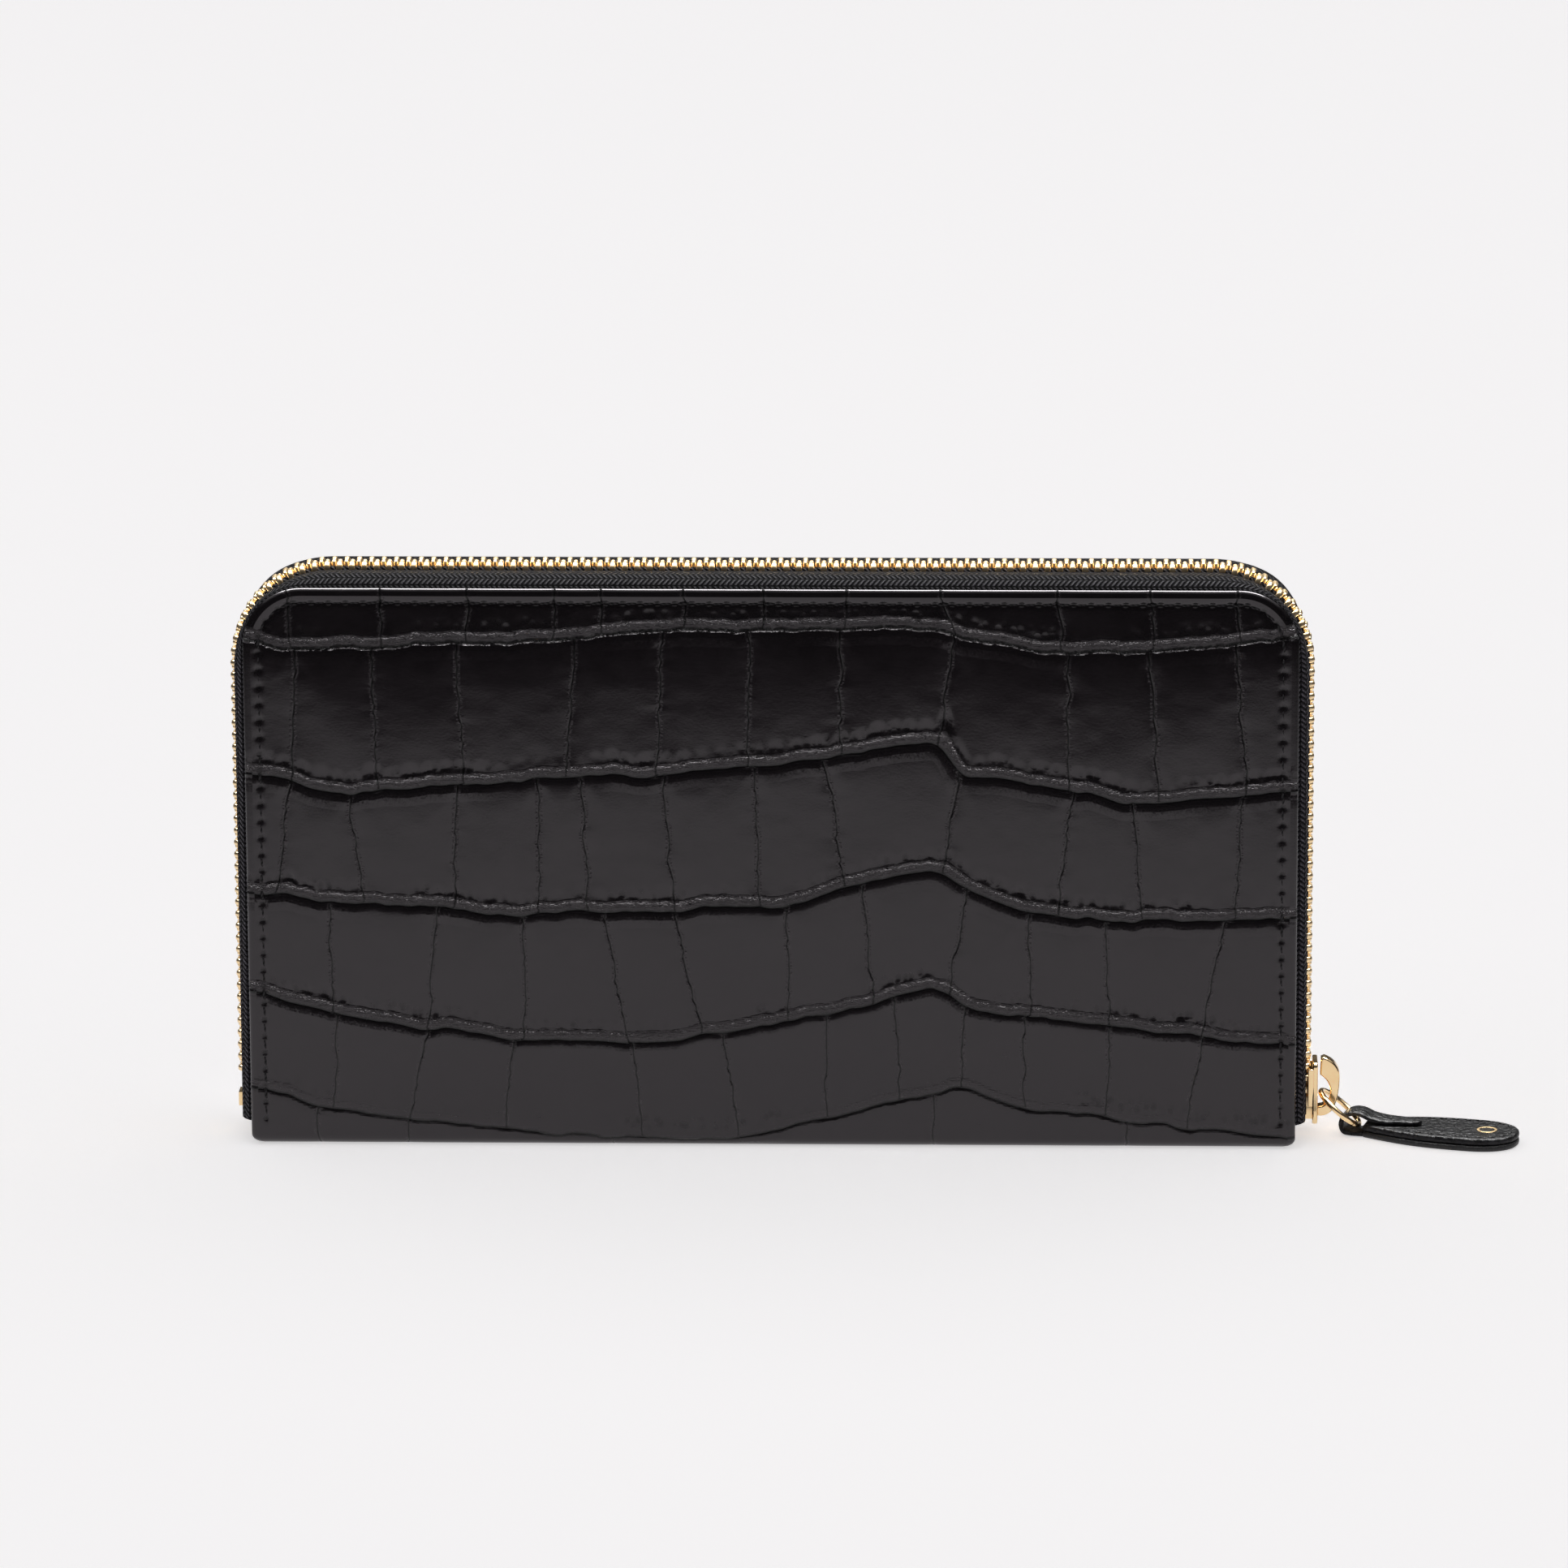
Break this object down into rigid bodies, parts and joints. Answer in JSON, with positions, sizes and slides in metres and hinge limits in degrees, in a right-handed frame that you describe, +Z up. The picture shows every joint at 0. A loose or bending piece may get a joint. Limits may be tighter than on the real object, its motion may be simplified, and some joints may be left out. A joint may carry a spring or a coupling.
{
  "type": "zip around wallet",
  "caption": "Slim rectangular leather wallet closed by a metal zip round three edges, with a leather puller, inner pockets and a zipped coin pocket.",
  "frame": {"origin": "centre of the spine's flat underside, which the wallet stands on", "axes": "+Z up from the spine to the zipped edge, +X along the spine towards the end where the slider parks, -Y out of the front cover"},
  "size_m": [0.24, 0.0235, 0.1101],
  "materials": {
    "croc_leather": "black crocodile-embossed leather, polished to a soft gloss",
    "plain_leather": "smooth black calf leather, satin",
    "gusset_leather": "thin soft black leather, matt",
    "board": "grey-brown stiffening board",
    "lining_cloth": "black twill lining",
    "zip_tape": "black herringbone woven tape",
    "thread": "black waxed thread",
    "gold_metal": "polished pale gold plating"
  },
  "bodies": {
    "spine": {"spine_leather": "croc_leather", "spine_board": "board", "spine_lining": "lining_cloth", "zip_bottom_stop": "gold_metal", "coin_pocket_front_wall": "plain_leather", "coin_pocket_rear_wall": "plain_leather", "coin_pocket_left_binding": "plain_leather", "coin_pocket_right_binding": "plain_leather", "coin_zip_front_tape": "zip_tape", "coin_zip_rear_tape": "zip_tape", "coin_zip_front_teeth": "gold_metal", "coin_zip_rear_teeth": "gold_metal", "gusset_front_left": "gusset_leather", "gusset_front_right": "gusset_leather", "gusset_rear_left": "gusset_leather", "gusset_rear_right": "gusset_leather"},
    "front_cover": {"front_panel": "croc_leather", "front_board": "board", "front_lining": "lining_cloth", "front_zip_tape": "zip_tape", "front_zip_teeth": "gold_metal", "front_stitching": "thread", "front_slip_pocket": "plain_leather", "front_card_strip_top": "plain_leather", "front_card_strip_middle": "plain_leather", "front_card_strip_bottom": "plain_leather"},
    "rear_cover": {"rear_panel": "croc_leather", "rear_board": "board", "rear_lining": "lining_cloth", "rear_zip_tape": "zip_tape", "rear_zip_teeth": "gold_metal", "rear_stitching": "thread", "rear_slip_pocket": "plain_leather", "rear_card_strip_top": "plain_leather", "rear_card_strip_middle": "plain_leather", "rear_card_strip_bottom": "plain_leather"},
    "slider": {"slider_body": "gold_metal", "slider_crown": "gold_metal"},
    "ring": {"pull_ring": "gold_metal"},
    "puller": {"puller_lower_leather": "plain_leather", "puller_upper_leather": "croc_leather", "puller_strap": "croc_leather", "puller_stitching": "thread"},
    "coin_slider": {"coin_slider_body": "gold_metal", "coin_slider_crown": "gold_metal"},
    "coin_pull": {"coin_pull_tab": "gold_metal"}
  },
  "joints": [
    {"name": "front_cover_hinge", "type": "hinge", "parent": "spine", "child": "front_cover", "pos_m": [0, -0.0104, 0.0016], "axis": [1, 0, 0], "range_deg": [0, 35]},
    {"name": "rear_cover_hinge", "type": "hinge", "parent": "spine", "child": "rear_cover", "pos_m": [0, 0.0104, 0.0016], "axis": [-1, 0, 0], "range_deg": [0, 35]},
    {"name": "slider_travel", "type": "slide", "parent": "front_cover", "child": "slider", "axis": [0, 0, 1], "range_m": [0, 0.072], "deforming": ["front_zip_teeth", "rear_zip_teeth"]},
    {"name": "ring_swing", "type": "hinge", "parent": "slider", "child": "ring", "pos_m": [0.1025, 0, 0.0081], "axis": [0, -1, 0], "range_deg": [-45, 55]},
    {"name": "puller_swing", "type": "hinge", "parent": "ring", "child": "puller", "pos_m": [0.10962, 0, 0.00212], "axis": [0, -1, 0], "range_deg": [-45, 50]},
    {"name": "coin_slider_travel", "type": "slide", "parent": "spine", "child": "coin_slider", "axis": [-1, 0, 0], "range_m": [0, 0.138], "deforming": ["coin_zip_front_teeth", "coin_zip_rear_teeth"]},
    {"name": "coin_pull_swing", "type": "hinge", "parent": "coin_slider", "child": "coin_pull", "pos_m": [0.0719, 0, 0.09135], "axis": [0, 1, 0], "range_deg": [0, 150]}
  ]
}
